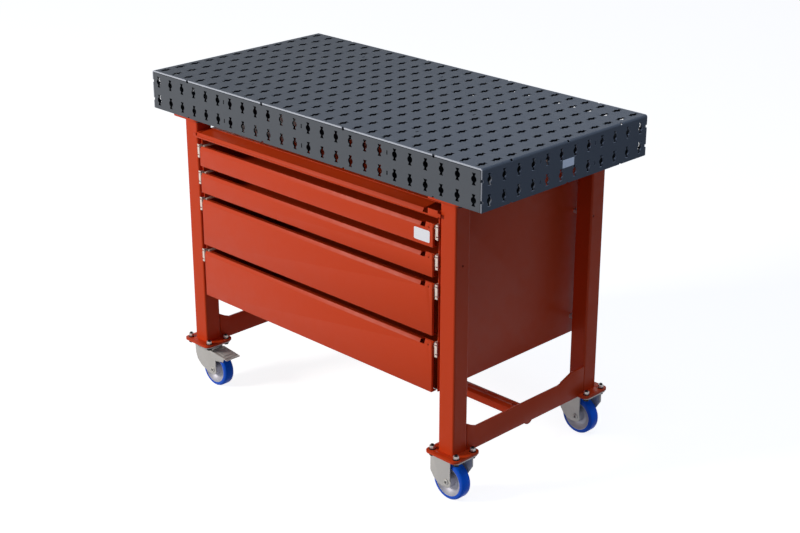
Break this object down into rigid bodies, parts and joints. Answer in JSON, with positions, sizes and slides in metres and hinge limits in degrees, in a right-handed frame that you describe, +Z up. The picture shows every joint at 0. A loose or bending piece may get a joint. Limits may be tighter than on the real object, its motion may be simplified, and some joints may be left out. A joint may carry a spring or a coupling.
{
  "type": "assembly table",
  "caption": "Mobile assembly table: perforated steel worktop box on a tubular leg frame with fixed and braked swivel casters, and a cabinet of sliding drawers hung under the top.",
  "frame": {"origin": "on the floor, midway between the ends and between the front and back of the worktop", "axes": "+X along the worktop to the right as seen from the drawer side, +Y from the drawer side to the back, +Z up"},
  "size_m": [1.2, 0.6, 0.895],
  "materials": {
    "worktop_steel": "dark blue-grey coated steel, satin",
    "frame_paint": "orange-red powder coat, satin",
    "slide_steel": "bright zinc-plated steel",
    "fork_zinc": "zinc-plated pressed steel",
    "rim_metal": "cast aluminium, matt",
    "tyre_blue": "blue elastic rubber, satin",
    "bolt_black": "black oxide steel",
    "nut_steel": "plain zinc-plated steel"
  },
  "bodies": {
    "root": {"top_plate": "worktop_steel", "front_skirt": "worktop_steel", "rear_skirt": "worktop_steel", "cross_ribs": "worktop_steel", "long_ribs": "worktop_steel", "corner_plates": "worktop_steel", "leg_top_flanges": "frame_paint", "front_left_leg": "frame_paint", "front_right_leg": "frame_paint", "rear_left_leg": "frame_paint", "rear_right_leg": "frame_paint", "leg_base_plates": "frame_paint", "flange_bolts": "bolt_black", "left_crossbar": "frame_paint", "right_crossbar": "frame_paint", "bottom_rail": "frame_paint", "rail_brackets": "frame_paint", "cabinet_left_side": "frame_paint", "cabinet_right_side": "frame_paint", "cabinet_back": "frame_paint", "cabinet_top": "frame_paint", "cabinet_bottom": "frame_paint", "cabinet_spacers": "nut_steel", "outer_slides": "slide_steel", "rigid_forks": "fork_zinc", "rigid_axles": "nut_steel", "swivel_plates": "fork_zinc", "swivel_bearings": "fork_zinc", "caster_bolts": "bolt_black", "caster_nuts": "nut_steel"},
    "drawer_1": {"drawer_1_box": "frame_paint", "drawer_1_front": "frame_paint", "drawer_1_inner_slides": "slide_steel"},
    "drawer_1_mid_members": {"drawer_1_mid_slides": "slide_steel"},
    "drawer_2": {"drawer_2_box": "frame_paint", "drawer_2_front": "frame_paint", "drawer_2_inner_slides": "slide_steel"},
    "drawer_2_mid_members": {"drawer_2_mid_slides": "slide_steel"},
    "drawer_3": {"drawer_3_box": "frame_paint", "drawer_3_front": "frame_paint", "drawer_3_inner_slides": "slide_steel"},
    "drawer_3_mid_members": {"drawer_3_mid_slides": "slide_steel"},
    "drawer_4": {"drawer_4_box": "frame_paint", "drawer_4_front": "frame_paint", "drawer_4_inner_slides": "slide_steel"},
    "drawer_4_mid_members": {"drawer_4_mid_slides": "slide_steel"},
    "front_left_swivel": {"front_left_fork": "fork_zinc", "front_left_axle": "nut_steel"},
    "front_left_pedal": {"front_left_brake": "fork_zinc"},
    "rear_left_swivel": {"rear_left_fork": "fork_zinc", "rear_left_axle": "nut_steel"},
    "rear_left_pedal": {"rear_left_brake": "fork_zinc"},
    "front_left_wheel": {"front_left_rim": "rim_metal", "front_left_tyre": "tyre_blue"},
    "front_right_wheel": {"front_right_rim": "rim_metal", "front_right_tyre": "tyre_blue"},
    "rear_left_wheel": {"rear_left_rim": "rim_metal", "rear_left_tyre": "tyre_blue"},
    "rear_right_wheel": {"rear_right_rim": "rim_metal", "rear_right_tyre": "tyre_blue"}
  },
  "joints": [
    {"name": "drawer_1_slide", "type": "slide", "parent": "root", "child": "drawer_1", "axis": [0, -1, 0], "range_m": [0, 0.45]},
    {"name": "drawer_1_mid_slide", "type": "slide", "parent": "root", "child": "drawer_1_mid_members", "axis": [0, -1, 0], "range_m": [0, 0.225]},
    {"name": "drawer_2_slide", "type": "slide", "parent": "root", "child": "drawer_2", "axis": [0, -1, 0], "range_m": [0, 0.45]},
    {"name": "drawer_2_mid_slide", "type": "slide", "parent": "root", "child": "drawer_2_mid_members", "axis": [0, -1, 0], "range_m": [0, 0.225]},
    {"name": "drawer_3_slide", "type": "slide", "parent": "root", "child": "drawer_3", "axis": [0, -1, 0], "range_m": [0, 0.45]},
    {"name": "drawer_3_mid_slide", "type": "slide", "parent": "root", "child": "drawer_3_mid_members", "axis": [0, -1, 0], "range_m": [0, 0.225]},
    {"name": "drawer_4_slide", "type": "slide", "parent": "root", "child": "drawer_4", "axis": [0, -1, 0], "range_m": [0, 0.45]},
    {"name": "drawer_4_mid_slide", "type": "slide", "parent": "root", "child": "drawer_4_mid_members", "axis": [0, -1, 0], "range_m": [0, 0.225]},
    {"name": "front_left_swivel_turn", "type": "hinge", "parent": "root", "child": "front_left_swivel", "pos_m": [-0.475, -0.25, 0.1105], "axis": [0, 0, 1], "continuous": true},
    {"name": "front_left_brake_press", "type": "hinge", "parent": "front_left_swivel", "child": "front_left_pedal", "pos_m": [-0.428, -0.25, 0.097], "axis": [0, 1, 0], "range_deg": [0, 10]},
    {"name": "rear_left_swivel_turn", "type": "hinge", "parent": "root", "child": "rear_left_swivel", "pos_m": [-0.475, 0.25, 0.1105], "axis": [0, 0, 1], "continuous": true},
    {"name": "rear_left_brake_press", "type": "hinge", "parent": "rear_left_swivel", "child": "rear_left_pedal", "pos_m": [-0.428, 0.25, 0.097], "axis": [0, 1, 0], "range_deg": [0, 10]},
    {"name": "front_left_wheel_spin", "type": "hinge", "parent": "front_left_swivel", "child": "front_left_wheel", "pos_m": [-0.435, -0.25, 0.05], "axis": [0, 1, 0], "continuous": true},
    {"name": "rear_left_wheel_spin", "type": "hinge", "parent": "rear_left_swivel", "child": "rear_left_wheel", "pos_m": [-0.435, 0.25, 0.05], "axis": [0, 1, 0], "continuous": true},
    {"name": "front_right_wheel_spin", "type": "hinge", "parent": "root", "child": "front_right_wheel", "pos_m": [0.475, -0.25, 0.05], "axis": [0, 1, 0], "continuous": true},
    {"name": "rear_right_wheel_spin", "type": "hinge", "parent": "root", "child": "rear_right_wheel", "pos_m": [0.475, 0.25, 0.05], "axis": [0, 1, 0], "continuous": true}
  ],
  "couplings": [
    {"joint": "drawer_1_mid_slide", "follows": "drawer_1_slide", "ratio": 0.5},
    {"joint": "drawer_2_mid_slide", "follows": "drawer_2_slide", "ratio": 0.5},
    {"joint": "drawer_3_mid_slide", "follows": "drawer_3_slide", "ratio": 0.5},
    {"joint": "drawer_4_mid_slide", "follows": "drawer_4_slide", "ratio": 0.5}
  ]
}
